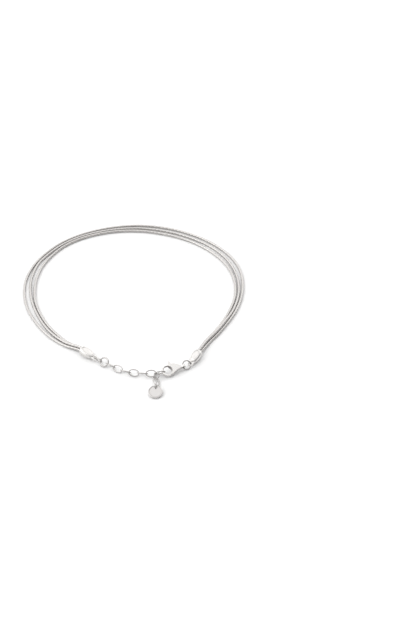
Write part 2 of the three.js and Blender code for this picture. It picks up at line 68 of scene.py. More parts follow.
# Routes of the strands: turn round the loop in degrees, then for each strand its distance from the
# middle as a share of the loop's radius, and its height above the floor in strand diameters
ROUTE_POINTS = [
    (41, (0.914, 0.89, 0.866), (0.0, 0.6, 0.0)),
    (51, (0.932, 0.895, 0.866), (0.0, 0.12, 0.0)),
    (62, (0.948, 0.902, 0.874), (0.0, 0.0, 0.0)),
    (76, (0.98, 0.921, 0.893), (0.0, 0.0, 0.0)),
    (86, (1.005, 0.945, 0.913), (0.0, 0.0, 0.0)),
    (95, (1.028, 0.972, 0.93), (0.0, 0.0, 0.0)),
    (105, (1.048, 1.003, 0.954), (0.0, 0.0, 0.0)),
    (116, (1.06, 1.031, 0.979), (0.0, 0.0, 0.0)),
    (126, (1.063, 1.034, 0.995), (0.0, 0.0, 0.0)),
    (137, (1.066, 1.037, 1.008), (0.0, 0.0, 0.0)),
    (150, (1.059, 1.03, 1.002), (0.0, 0.0, 0.0)),
    (166, (1.05, 1.014, 0.983), (0.0, 0.0, 0.0)),
    (182, (1.05, 1.006, 0.965), (0.0, 0.0, 0.0)),
    (198, (1.048, 0.999, 0.953), (0.0, 0.0, 0.0)),
    (212, (1.052, 1.002, 0.956), (0.0, 0.0, 0.0)),
    (224, (1.06, 1.012, 0.96), (0.0, 0.0, 0.0)),
    (236, (1.065, 1.014, 0.967), (0.0, 0.0, 0.0)),
    (247, (1.058, 1.006, 0.966), (0.0, 0.0, 0.0)),
    (258, (1.033, 0.991, 0.956), (0.0, 0.0, 0.0)),
    (270, (1.001, 0.97, 0.939), (0.0, 0.0, 0.0)),
    (283, (0.97, 0.942, 0.913), (0.0, 0.0, 0.0)),
    (295, (0.948, 0.926, 0.901), (0.0, 0.7, 0.0)),
    (305, (0.947, 0.928, 0.905), (0.0, 0.78, 0.0)),
    (313, (0.957, 0.938, 0.918), (0.05, 0.88, 0.05)),
]

# Places of the strands in the bundle, across and up, in strand spacings
BUNDLE = [
    (0.5, -math.sqrt(3) / 6),
    (0.0, math.sqrt(3) / 3),
    (-0.5, -math.sqrt(3) / 6),
]

# The middle of the clasp's hook gap, its axis and the direction from the hook to the eye
HOOK_MIDDLE = np.array([13.664, -36.065, 1.515]) * MM
HOOK_AXIS = np.array([0.1783, -0.4005, 0.8988])
HOOK_ALONG = np.array([0.9135, 0.4067, 0.0])
HOOK_GAP = 1.5 * MM

# The painted shade on the wall of the hook's gap: where it starts and ends round the gap and how it fades
# there, in degrees, how it fades outwards, and how wide it is on the clasp's body and on its lever
WALL_START = -40.0
WALL_END = 118.0
WALL_TURN_FADE = 12.0
WALL_FADE = 0.12 * MM
BODY_WALL_SHADE = 0.2 * MM
LEVER_WALL_SHADE = 0.5 * MM

# Roughness of the caps, as a share of the satin fields'
CAP_SATIN = 0.7

# Rounds of levelling by which a casting's hollows are found, for their painted shade
CAVITY_ROUNDS = 24

# Farthest that a chain's box may lie from its solid's
LARGEST_DRIFT = 0.4 * MM

# One ring of a chain: share of the pitch, and share of the way from groove to full radius
RING_PROFILE = ((0.0, 0.0), (0.13, 0.82), (0.32, 1.0), (0.68, 1.0), (0.87, 0.82))

# Where the cut of a ring or link lies, as a share of its loop
SEAM_SHARES = (0.62, 0.12)

# Where the surroundings are bright, as a direction in the row frame, and their brightness there and
# on the other side, from straight down (0) to straight up (1)
BRIGHT_SIDE = (-0.6, 0.8, 0.0)
BRIGHT_SKY = ((0.0, 0.75), (0.15, 0.95), (0.4, 1.0), (0.8, 1.0), (1.0, 0.9))
DIM_SKY = ((0.0, 0.1), (0.3, 0.12), (0.6, 0.26), (0.85, 0.75), (1.0, 0.9))
SKY_TURN = (-0.45, 0.2)

# Places of the lights in metres
KEY_PLACE = (-1.1, -0.3, 1.2)
FILL_PLACE = (1.2, 0.8, 1.2)

# Colour sockets of Blender's Mix node
MIX_A = 6
MIX_B = 7
MIX_RESULT = 2

WIRE_NODES = [
    "cap_loop", "jump_ring_1", "link_1", "link_2", "link_3", "link_4", "link_5", "link_6", "link_7",
    "tail_link_1", "tail_link_2", "disc_ring", "jump_ring_2",
]


class StrandSettings(bpy.types.PropertyGroup):
    """Sizes and finish of the snake chain strands"""

    diameter: FloatProperty(
        name="Diameter", description="Outer diameter of a strand",
        default=1.0 * MM, unit="LENGTH", precision=5)
    ring_pitch: FloatProperty(
        name="Ring pitch", description="Distance from one ring of the chain to the next",
        default=0.5 * MM, unit="LENGTH", precision=5)
    groove: FloatProperty(
        name="Groove", description="Radius in the groove between rings, as a share of the full radius",
        default=0.86, min=0.5, max=1.0, subtype="FACTOR")
    wave: FloatProperty(
        name="Wave", description="How far the edge of a ring waves along the strand",
        default=0.07 * MM, unit="LENGTH", precision=5)
    flat: FloatProperty(
        name="Cut flat", description="Distance of a cut flat from the axis, as a share of the radius",
        default=0.9, min=0.7, max=1.0, subtype="FACTOR")
    twist: FloatProperty(
        name="Twist", description="Length along the strand in which the four cut flats turn once",
        default=5.6 * MM, unit="LENGTH", precision=5)
    around: IntProperty(
        name="Around", description="Faces round a strand", default=24, min=12, max=48)
    colour: FloatVectorProperty(
        name="Colour", description="Colour of the polished silver",
        default=(0.66, 0.64, 0.625), subtype="COLOR", min=0.0, max=1.0)
    # Painted shade: the silver down in the grooves between the rings is painted darker, to stand in for the
    # shade there.
    groove_shade_colour: FloatVectorProperty(
        name="Painted groove shade", description="Colour of the silver down between the rings",
        default=(0.17, 0.16, 0.155), subtype="COLOR", min=0.0, max=1.0)
    roughness: FloatProperty(
        name="Roughness", description="Roughness of the rings", default=0.2, subtype="FACTOR")


class WireSettings(bpy.types.PropertyGroup):
    """Finish of the links and rings"""

    around: IntProperty(name="Around", description="Faces round a wire", default=16, min=8, max=32)
    along: IntProperty(name="Along", description="Steps along a loop of wire", default=72, min=24, max=200)
    seam_width: FloatProperty(
        name="Seam width", description="Width of the closed cut in a ring",
        default=0.05 * MM, unit="LENGTH", precision=6)
    seam_depth: FloatProperty(
        name="Seam depth", description="Depth of the closed cut, as a share of the wire's radius",
        default=0.22, subtype="FACTOR")
    colour: FloatVectorProperty(
        name="Colour", description="Colour of the polished wire",
        default=(0.52, 0.505, 0.495), subtype="COLOR", min=0.0, max=1.0)
    seam_colour: FloatVectorProperty(
        name="Seam colour", description="Colour of the silver down in the closed cut",
        default=(0.3, 0.29, 0.28), subtype="COLOR", min=0.0, max=1.0)
    roughness: FloatProperty(
        name="Roughness", description="Roughness of the wire", default=0.14, subtype="FACTOR")


class CastingSettings(bpy.types.PropertyGroup):
    """Finish of the caps, the clasp and the disc"""

    grain: FloatProperty(
        name="Surface step", description="Size of the faces of a cast piece",
        default=0.055 * MM, unit="LENGTH", precision=6)
    softness: IntProperty(
        name="Softness", description="How much the edges of a cast piece are rounded", default=5, min=0, max=30)
    # Painted shade: a casting's hollows, and the wall of the clasp's hook gap, are painted darker in the hollow
    # colour, to stand in for their shade.
    cavity_depth: FloatProperty(
        name="Hollow depth", description="Depth at which a hollow is fully dark",
        default=0.05 * MM, unit="LENGTH", precision=6)
    hollow_shade_colour: FloatVectorProperty(
        name="Painted hollow shade", description="Colour of the silver in the hollows",
        default=(0.22, 0.205, 0.2), subtype="COLOR", min=0.0, max=1.0)
    colour: FloatVectorProperty(
        name="Colour", description="Colour of the cast silver",
        default=(0.73, 0.715, 0.70), subtype="COLOR", min=0.0, max=1.0)
    disc_colour: FloatVectorProperty(
        name="Disc colour", description="Colour of the disc's brushed silver",
        default=(0.63, 0.615, 0.605), subtype="COLOR", min=0.0, max=1.0)
    roughness: FloatProperty(
        name="Roughness", description="Roughness of the polished castings", default=0.16, subtype="FACTOR")
    satin: FloatProperty(
        name="Satin", description="Roughness of the satin fields", default=0.42, subtype="FACTOR")


class StageSettings(bpy.types.PropertyGroup):
    """Camera, floor and lights"""

    elevation: FloatProperty(
        name="Elevation", description="Height of the camera above the floor, as an angle",
        default=math.radians(41.0), subtype="ANGLE")
    distance: FloatProperty(
        name="Distance", description="From the camera to the point it looks at",
        default=0.54, unit="LENGTH")
    lens: FloatProperty(
        name="Lens", description="Focal length in millimetres", default=85.0)
    aim: FloatVectorProperty(
        name="Aim", description="Point on the floor that the camera looks at",
        default=(27.747 * MM, -2.933 * MM, 0.0), subtype="TRANSLATION", precision=5)
    floor_colour: FloatVectorProperty(
        name="Floor colour", description="Colour of the floor",
        default=(0.96, 0.96, 0.96), subtype="COLOR", min=0.0, max=1.0)
    floor_size: FloatProperty(
        name="Floor size", description="Side of the floor", default=6.0, unit="LENGTH")
    key: FloatProperty(name="Key light", description="Power of the key light in watts", default=5.0)
    key_size: FloatProperty(
        name="Key size", description="Diameter of the key light", default=1.6, unit="LENGTH")
    fill: FloatProperty(name="Fill light", description="Power of the fill light in watts", default=2.0)
    fill_size: FloatProperty(
        name="Fill size", description="Diameter of the fill light", default=1.2, unit="LENGTH")
    sky: FloatProperty(name="Sky", description="Brightness of the surroundings", default=1.36)
    sky_tint: FloatVectorProperty(
        name="Sky tint", description="Tint of the surroundings",
        default=(1.0, 0.998, 0.995), subtype="COLOR", min=0.0, max=1.0)


# Curves


def heading_vector(heading):
    """Level direction for a heading in degrees from +X."""
    angle = math.radians(heading)
    return np.array([math.cos(angle), math.sin(angle), 0.0])


def pocket_points(mouth, heading, side, lane, diameter):
    """The straight stretch of a strand in its end cap, from its end in the pocket outwards."""
    along = heading_vector(heading)
    across = np.array([-along[1], along[0], 0.0]) * side * BUNDLE[lane][0] * STRAND_SPACING
    up = np.array([0.0, 0.0, 1.0]) * BUNDLE[lane][1] * STRAND_SPACING
    steps = (POCKET_DEPTH, POCKET_DEPTH * 0.5, 0.0, -diameter)
    return [mouth + along * step + across + up for step in steps]


def strand_points(lane, diameter):
    """The chosen points of one strand's route, in the row frame."""
    points = pocket_points(LEFT_MOUTH, LEFT_HEADING, -1, lane, diameter)
    for turn, out, up in ROUTE_POINTS:
        angle = math.radians(turn)
        radius = out[lane] * LOOP_RADIUS
        height = (0.5 + up[lane]) * diameter
        points.append(LOOP_CENTRE + np.array([-math.sin(angle) * radius, -math.cos(angle) * radius, height]))
    points += pocket_points(RIGHT_MOUTH, RIGHT_HEADING, 1, lane, diameter)[::-1]
    return np.array(points)


def smooth_route(points, per_span=60):
    """A centripetal spline through the points, as a dense list of places."""
    padded = np.vstack([2 * points[0] - points[1], points, 2 * points[-1] - points[-2]])
    share = np.linspace(0.0, 1.0, per_span, endpoint=False)[:, None]
    spans = []
    for i in range(len(points) - 1):
        a, b, c, d = padded[i:i + 4]
        k0, k1, k2 = (math.sqrt(np.linalg.norm(q - p)) for p, q in ((a, b), (b, c), (c, d)))
        start = ((b - a) / k0 - (c - a) / (k0 + k1) + (c - b) / k1) * k1
        end = ((c - b) / k1 - (d - b) / (k1 + k2) + (d - c) / k2) * k1
        cubic = 2 * b - 2 * c + start + end
        square = -3 * b + 3 * c - 2 * start - end
        spans.append(b + start * share + square * share ** 2 + cubic * share ** 3)
    return np.vstack(spans + [points[-1:]])


def path_frames(path, stations):
    """Places, and two directions across the path, at distances along it."""
    run = np.concatenate([[0.0], np.cumsum(np.linalg.norm(np.diff(path, axis=0), axis=1))])
    places = np.column_stack([np.interp(stations, run, path[:, k]) for k in range(3)])
    tangents = np.gradient(places, axis=0)
    tangents /= np.linalg.norm(tangents, axis=1)[:, None]
    side = np.cross(tangents, [0.0, 0.0, 1.0])
    side /= np.linalg.norm(side, axis=1)[:, None]
    return places, side, np.cross(side, tangents)


def path_length(path):
    """Length along a list of places."""
    return float(np.linalg.norm(np.diff(path, axis=0), axis=1).sum())


# Meshes


def grid_faces(rows, columns, closed):
    """Faces of a tube of rows by columns points. A closed tube joins its last row to its first."""
    last = rows if closed else rows - 1
    i, j = np.meshgrid(np.arange(last), np.arange(columns), indexing="ij")
    k = (i + 1) % rows
    n = (j + 1) % columns
    faces = np.stack([i * columns + j, i * columns + n, k * columns + n, k * columns + j], axis=-1)
    return faces.reshape(-1, 4).tolist()


def keep_depth(mesh, depth):
    """The depth mask as a vertex attribute that the materials read: painted shade in grooves and hollows, and
    the dark seams of cuts.
    """
    attribute = mesh.attributes.new("depth", "FLOAT", "POINT")
    attribute.data.foreach_set("value", depth.astype(np.float32).ravel())


def tube_object(name, grid, closed, depth):
    """A tube from a grid of points, joined end to end or closed by flat ends."""
    rows, columns = grid.shape[:2]
    faces = grid_faces(rows, columns, closed)
    if not closed:
        faces.append(list(range(columns))[::-1])
        faces.append([(rows - 1) * columns + j for j in range(columns)])
    mesh = bpy.data.meshes.new(name)
    mesh.from_pydata(grid.reshape(-1, 3).tolist(), [], faces)
    keep_depth(mesh, depth)
    mesh.validate()
    mesh.shade_smooth()
    mesh.update()
    if signed_volume(mesh) < 0:
        mesh.flip_normals()
    piece = bpy.data.objects.new(name, mesh)
    bpy.context.scene.collection.objects.link(piece)
    return piece


def mesh_points(mesh):
    """The mesh's vertices as rows of x, y and z."""
    points = np.empty(len(mesh.vertices) * 3)
    mesh.vertices.foreach_get("co", points)
    return points.reshape(-1, 3)


def signed_volume(mesh):
    """Volume of a closed mesh, below 0 where its faces point inwards."""
    mesh.calc_loop_triangles()
    points = mesh_points(mesh)
    corners = np.empty(len(mesh.loop_triangles) * 3, dtype=np.int64)
    mesh.loop_triangles.foreach_get("vertices", corners)
    a, b, c = (points[corners.reshape(-1, 3)[:, k]] for k in range(3))
    return float(np.einsum("ij,ij->i", a, np.cross(b, c)).sum()) / 6.0


def cavity(mesh, rounds, full_depth):
    """How deep each point lies below its surroundings, from 0 to 1 at the full depth; this is the mask of the
    painted shade in a casting's hollows.
    """
    points = mesh_points(mesh)
    normals = np.empty(points.size)
    mesh.vertex_normals.foreach_get("vector", normals)
    edges = np.empty(len(mesh.edges) * 2, dtype=np.int64)
    mesh.edges.foreach_get("vertices", edges)
    ends = np.concatenate([edges[0::2], edges[1::2]])
    others = np.concatenate([edges[1::2], edges[0::2]])
    count = np.maximum(np.bincount(ends, minlength=len(points)), 1)
    level = points.copy()
    for _ in range(rounds):
        level = np.column_stack([
            np.bincount(ends, weights=level[others, k], minlength=len(points)) / count for k in range(3)])
    depth = ((level - points) * normals.reshape(-1, 3)).sum(axis=1)
    return np.clip(depth / full_depth, 0.0, 1.0)


def gap_wall_shade(points, width):
    """Mask of the painted shade on the wall of the hook's gap: 1 on the wall on the lever's side, to a width
    round it, and 0 elsewhere.
    """
    away = points - HOOK_MIDDLE
    x = away @ HOOK_ALONG
    y = away @ np.cross(HOOK_AXIS, HOOK_ALONG)
    outside = np.hypot(x, y) - HOOK_GAP
    angle = np.degrees(np.arctan2(y, x))
    from_start = np.clip((angle - WALL_START) / WALL_TURN_FADE, 0.0, 1.0)
    to_end = np.clip((WALL_END - angle) / WALL_TURN_FADE, 0.0, 1.0)
    return from_start * to_end * np.clip((width - outside) / WALL_FADE, 0.0, 1.0)


def finish_piece(piece, nodes, body, material):
    """The piece replaces its CAD nodes, rides on their body and takes its finish."""
    piece.data.materials.clear()
    piece.data.materials.append(material)
    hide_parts(*nodes)
    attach(piece, body)


# Materials


def socket(group, name, kind, direction, default=None):
    """One input or output of a node group."""
    item = group.interface.new_socket(name, in_out=direction, socket_type=kind)
    if default is not None:
        item.default_value = default
    return item


def polish_group():
    """Fine scratches and haze of polished silver."""
    group = bpy.data.node_groups.get("Polish haze")
    if group:
        return group
    group = bpy.data.node_groups.new("Polish haze", "ShaderNodeTree")
    socket(group, "Roughness", "NodeSocketFloat", "INPUT", 0.2)
    socket(group, "Haze", "NodeSocketFloat", "INPUT", 0.08)
    socket(group, "Scale", "NodeSocketFloat", "INPUT", 1500.0)
    socket(group, "Roughness", "NodeSocketFloat", "OUTPUT")
    socket(group, "Height", "NodeSocketFloat", "OUTPUT")
    nodes, links = group.nodes, group.links
    inputs = nodes.new("NodeGroupInput")
    outputs = nodes.new("NodeGroupOutput")
    place = nodes.new("ShaderNodeTexCoord")
    haze = nodes.new("ShaderNodeTexNoise")
    haze.inputs["Detail"].default_value = 4.0
    links.new(place.outputs["Object"], haze.inputs["Vector"])
    links.new(inputs.outputs["Scale"], haze.inputs["Scale"])
    stretch = nodes.new("ShaderNodeMapping")
    stretch.inputs["Scale"].default_value = (1.0, 6.0, 1.0)
    stretch.inputs["Rotation"].default_value = (0.3, 0.2, 0.7)
    links.new(place.outputs["Object"], stretch.inputs["Vector"])
    scratch = nodes.new("ShaderNodeTexNoise")
    scratch.inputs["Detail"].default_value = 3.0
    fine = nodes.new("ShaderNodeMath")
    fine.operation = "MULTIPLY"
    fine.inputs[1].default_value = 3.0
    links.new(inputs.outputs["Scale"], fine.inputs[0])
    links.new(fine.outputs[0], scratch.inputs["Scale"])
    links.new(stretch.outputs["Vector"], scratch.inputs["Vector"])
    centred = nodes.new("ShaderNodeMath")
    centred.operation = "SUBTRACT"
    centred.inputs[1].default_value = 0.5
    links.new(haze.outputs["Fac"], centred.inputs[0])
    change = nodes.new("ShaderNodeMath")
    change.operation = "MULTIPLY_ADD"
    links.new(centred.outputs[0], change.inputs[0])
    links.new(inputs.outputs["Haze"], change.inputs[1])
    links.new(inputs.outputs["Roughness"], change.inputs[2])
    links.new(change.outputs[0], outputs.inputs["Roughness"])
    links.new(scratch.outputs["Fac"], outputs.inputs["Height"])
    return group


def shade_and_seam_group():
    """Darker silver where a mask says that the surface lies deep: painted shade in grooves, hollows and the
    hook's gap, and the dark seams of closed cuts.
    """
    group = bpy.data.node_groups.get("Painted shade and dark seams")
    if group:
        return group
    group = bpy.data.node_groups.new("Painted shade and dark seams", "ShaderNodeTree")
    socket(group, "Silver", "NodeSocketColor", "INPUT", (0.93, 0.92, 0.9, 1.0))
    socket(group, "Deep silver", "NodeSocketColor", "INPUT", (0.4, 0.38, 0.36, 1.0))
    socket(group, "Depth", "NodeSocketFloat", "INPUT", 0.0)
    socket(group, "Colour", "NodeSocketColor", "OUTPUT")
    nodes, links = group.nodes, group.links
    inputs = nodes.new("NodeGroupInput")
    outputs = nodes.new("NodeGroupOutput")
    place = nodes.new("ShaderNodeTexCoord")
    cloud = nodes.new("ShaderNodeTexNoise")
    cloud.inputs["Scale"].default_value = 260.0
    cloud.inputs["Detail"].default_value = 5.0
    links.new(place.outputs["Object"], cloud.inputs["Vector"])
    spread = nodes.new("ShaderNodeMapRange")
    spread.inputs["From Min"].default_value = 0.3
    spread.inputs["From Max"].default_value = 0.7
    spread.inputs["To Min"].default_value = 0.75
    spread.inputs["To Max"].default_value = 1.0
    links.new(cloud.outputs["Fac"], spread.inputs["Value"])
    depth = nodes.new("ShaderNodeMath")
    depth.operation = "MULTIPLY"
    depth.use_clamp = True
    links.new(inputs.outputs["Depth"], depth.inputs[0])
    links.new(spread.outputs["Result"], depth.inputs[1])
    mix = nodes.new("ShaderNodeMix")
    mix.data_type = "RGBA"
    links.new(depth.outputs[0], mix.inputs["Factor"])
    links.new(inputs.outputs["Silver"], mix.inputs[MIX_A])
    links.new(inputs.outputs["Deep silver"], mix.inputs[MIX_B])
    links.new(mix.outputs[MIX_RESULT], outputs.inputs["Colour"])
    return group


def silver_material(name, colour, deep, roughness, haze, scratch):
    """Silver with a hazed polish, painted darker where its depth mask is high: shade in grooves and hollows,
    and the dark seams of cuts.
    """
    material = bpy.data.materials.get(name)
    if material:
        return material
    material = bpy.data.materials.new(name)
    material.use_nodes = True
    nodes, links = material.node_tree.nodes, material.node_tree.links
    shader = nodes["Principled BSDF"]
    shader.inputs["Metallic"].default_value = 1.0
    polish = nodes.new("ShaderNodeGroup")
    polish.node_tree = polish_group()
    polish.inputs["Roughness"].default_value = roughness
    polish.inputs["Haze"].default_value = haze
    links.new(polish.outputs["Roughness"], shader.inputs["Roughness"])
    bump = nodes.new("ShaderNodeBump")
    bump.inputs["Strength"].default_value = scratch
    bump.inputs["Distance"].default_value = 0.02 * MM
    links.new(polish.outputs["Height"], bump.inputs["Height"])
    links.new(bump.outputs["Normal"], shader.inputs["Normal"])
    grooves = nodes.new("ShaderNodeGroup")
    grooves.node_tree = shade_and_seam_group()
    grooves.inputs["Silver"].default_value = (*colour, 1.0)
    grooves.inputs["Deep silver"].default_value = (*deep, 1.0)
    depth = nodes.new("ShaderNodeAttribute")
    depth.attribute_name = "depth"
    links.new(depth.outputs["Fac"], grooves.inputs["Depth"])
    links.new(grooves.outputs["Colour"], shader.inputs["Base Color"])
    return material


# Strands


def strand_grid(path, settings):
    """Points of a snake chain: rings with waved edges, and four cut flats that turn slowly."""
    length = path_length(path)
    rings = int(length / settings.ring_pitch)
    pitch = length / rings
    shares, heights = np.array(RING_PROFILE).T
    stations = np.append((np.arange(rings)[:, None] + shares).ravel() * pitch, length)
    height = np.append(np.tile(heights, rings), 0.0)
    places, side, up = path_frames(path, stations)
    tangent = np.cross(up, side)
    angle = np.arange(settings.around) / settings.around * 2 * math.pi
    full = settings.diameter / 2
    radius = full * (settings.groove + (1 - settings.groove) * height)[:, None]
    turned = angle[None, :] - 2 * math.pi * stations[:, None] / settings.twist
    quarter = math.pi / 2
    from_flat = np.mod(turned + quarter / 2, quarter) - quarter / 2
    cut = full * settings.flat / np.cos(from_flat)
    radius = np.minimum(radius, cut)
    fade = np.minimum(1.0, np.minimum(stations, length - stations) / pitch)[:, None]
    wave = settings.wave * np.cos(4 * angle)[None, :] * fade
    grid = (places[:, None, :]
            + side[:, None, :] * (np.cos(angle)[None, :] * radius)[..., None]
            + up[:, None, :] * (np.sin(angle)[None, :] * radius)[..., None]
            + tangent[:, None, :] * wave[..., None])
    # The depth mask paints shade into each groove between rings, full at the bottom of the groove and fading up
    # its sides.
    depth = np.repeat((1.0 - height)[:, None], settings.around, axis=1)
    return grid, depth


def make_strands(settings):
    """The three snake chains, each along its strand's route."""
    material = silver_material(
        "Silver snake chain", settings.colour[:], settings.groove_shade_colour[:],
        settings.roughness, haze=0.1, scratch=0.06)
    for lane in range(3):
        path = smooth_route(strand_points(lane, settings.diameter))
        grid, depth = strand_grid(path, settings)
        node = f"strand_{lane + 1}"
        piece = tube_object(f"snake_chain_{lane + 1}", grid, False, depth)
        low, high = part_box(node)
        points = mesh_points(piece.data)
        drift = max(np.abs(points.min(axis=0) - low).max(), np.abs(points.max(axis=0) - high).max())
        if drift > LARGEST_DRIFT:
            raise RuntimeError(f"{node} and its chain lie {drift / MM:.2f} mm apart")
        finish_piece(piece, [node], "anklet", material)


# Links and rings


def wire_facts(node):
    """Middle, directions and sizes of a loop of wire, read from its CAD solid."""
    points = mesh_points(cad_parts[node].data)
    middle = points.mean(axis=0)
    axes = np.linalg.svd(points - middle, full_matrices=False)[2]
    if np.linalg.det(axes) < 0:
        axes[2] = -axes[2]
    reach = [np.ptp((points - middle) @ axis) for axis in axes]
    wire = reach[2]
    # The solid's wire has six sides, so it reaches less far across its corners than along them
    short = wire * (1.0 - math.cos(math.pi / 6))
    return middle, axes, reach[0] + short, reach[1] + short, wire


def loop_path(length, width, wire, distances):
    """Places and outward directions on an oval loop, and the oval's own length."""
    half_length = (length - wire) / 2
    half_width = (width - wire) / 2
    turn = np.linspace(0.0, 2 * math.pi, 721)
    oval = np.column_stack([half_length * np.cos(turn), half_width * np.sin(turn)])
    run = np.concatenate([[0.0], np.cumsum(np.linalg.norm(np.diff(oval, axis=0), axis=1))])
    angle = np.interp(np.mod(distances, run[-1]), run, turn)
    places = np.column_stack([half_length * np.cos(angle), half_width * np.sin(angle)])
    outs = np.column_stack([half_width * np.cos(angle), half_length * np.sin(angle)])
    return places, outs / np.linalg.norm(outs, axis=1)[:, None], float(run[-1])


def wire_grid(node, settings, seam_share):
    """A loop of round wire with the fine cut where it was closed."""
    middle, axes, length, width, wire = wire_facts(node)
    total = loop_path(length, width, wire, [0.0])[2]
    seam = total * seam_share
    gap = settings.seam_width
    near = seam + gap * np.array([-1.6, -1.0, -0.4, 0.0, 0.4, 1.0, 1.6])
    even = np.arange(settings.along) / settings.along * total
    even = even[np.abs(even - seam) > 2.2 * gap]
    distances = np.sort(np.concatenate([even, near]))
    places, outs, total = loop_path(length, width, wire, distances)
    away = np.abs(distances - seam) / gap
    dip = settings.seam_depth * np.clip(1.0 - away, 0.0, 1.0)
    angle = (np.arange(settings.around) + 0.5) / settings.around * 2 * math.pi
    radius = wire / 2 * (1.0 - dip)[:, None]
    flat = places[:, None, :] + outs[:, None, :] * (np.cos(angle)[None, :] * radius)[..., None]
    rise = np.sin(angle)[None, :] * radius
    grid = (middle
            + flat[..., 0:1] * axes[0]
            + flat[..., 1:2] * axes[1]
            + rise[..., None] * axes[2])
    depth = np.repeat(np.clip(1.0 - away, 0.0, 1.0)[:, None], settings.around, axis=1)
    return grid, depth


def make_wires(settings):
    """The links and rings, with their cuts on one side and the other in turn."""
    material = silver_material(
        "Silver wire", settings.colour[:], settings.seam_colour[:],
        settings.roughness, haze=0.08, scratch=0.04)
    for i, node in enumerate(WIRE_NODES):
        seam_share = SEAM_SHARES[0 if node.startswith("jump") else i % 2]
        grid, depth = wire_grid(node, settings, seam_share)
        piece = tube_object(f"{node}_wire", grid, True, depth)
        finish_piece(piece, [node], "anklet", material)


# Castings


def cast_piece(node, name, settings, body, material, wall_shade_width=None):
    """The CAD solid as a casting: the same form with its edges rounded and its faces made fine."""
    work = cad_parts[node].data.copy()
    work.transform([[1000, 0, 0, 0], [0, 1000, 0, 0], [0, 0, 1000, 0], [0, 0, 0, 1]])
    blank = bpy.data.objects.new("blank", work)
    bpy.context.scene.collection.objects.link(blank)
    remesh = blank.modifiers.new("Fine faces", "REMESH")
    remesh.mode = "VOXEL"
    remesh.voxel_size = settings.grain / MM
    remesh.use_smooth_shade = True
    soften = blank.modifiers.new("Round edges", "SMOOTH")
    soften.factor = 0.5
    soften.iterations = settings.softness
    graph = bpy.context.evaluated_depsgraph_get()
    mesh = bpy.data.meshes.new_from_object(blank.evaluated_get(graph))
    bpy.data.objects.remove(blank)
    bpy.data.meshes.remove(work)
    mesh.transform([[MM, 0, 0, 0], [0, MM, 0, 0], [0, 0, MM, 0], [0, 0, 0, 1]])
    mesh.shade_smooth()
    mesh.name = name
    # Painted shade: the casting's hollows, and the wall of the hook's gap where a width is given, are painted
    # darker.
    depth = cavity(mesh, CAVITY_ROUNDS, settings.cavity_depth)
    if wall_shade_width:
        depth = np.maximum(depth, gap_wall_shade(mesh_points(mesh), wall_shade_width))
    keep_depth(mesh, depth)
    piece = bpy.data.objects.new(name, mesh)
    bpy.context.scene.collection.objects.link(piece)
    finish_piece(piece, [node], body, material)


def make_caps(settings):
    """The two almond end caps."""
    material = silver_material(
        "Silver cap", settings.colour[:], settings.hollow_shade_colour[:],
        settings.satin * CAP_SATIN, haze=0.12, scratch=0.08)
    for side in ("left", "right"):
        cast_piece(f"end_cap_{side}", f"{side}_cap_casting", settings, "anklet", material)


def make_clasp(settings):
    """The clasp's body, and its lever on its own body."""
    material = silver_material(
        "Silver clasp", settings.colour[:], settings.hollow_shade_colour[:],
        settings.roughness, haze=0.08, scratch=0.05)
    # Painted shade darkens the wall of the hook's gap, on the body and on the lever.
    cast_piece("clasp_body", "clasp_casting", settings, "anklet", material, BODY_WALL_SHADE)
    cast_piece("clasp_lever", "lever_casting", settings, "lever", material, LEVER_WALL_SHADE)


def make_disc(settings):
    """The plain disc drop."""
    material = silver_material(
        "Silver disc", settings.disc_colour[:], settings.hollow_shade_colour[:],
        settings.satin, haze=0.12, scratch=0.12)
    cast_piece("disc", "disc_casting", settings, "anklet", material)


# Stage


def area_light(name, place, size, power):
    """A round area light that faces the middle of the anklet."""
    data = bpy.data.lights.new(name, "AREA")
    data.shape = "DISK"
    data.size = size
    data.energy = power
    light = bpy.data.objects.new(name, data)
    light.location = place
    aim = -np.array(place)
    light.rotation_euler = (
        math.atan2(math.hypot(aim[0], aim[1]), -aim[2]), 0.0, math.atan2(aim[1], aim[0]) - math.pi / 2)
    bpy.context.scene.collection.objects.link(light)


def sky_ramp(nodes, stops):
    """A ramp of greys, from (position, value) pairs."""
    ramp = nodes.new("ShaderNodeValToRGB")
    ramp.color_ramp.interpolation = "EASE"
    items = ramp.color_ramp.elements
    while len(items) < len(stops):
        items.new(1.0)
    for item, (position, value) in zip(items, stops):
        item.position = position
        item.color = (value, value, value, 1.0)
    return ramp


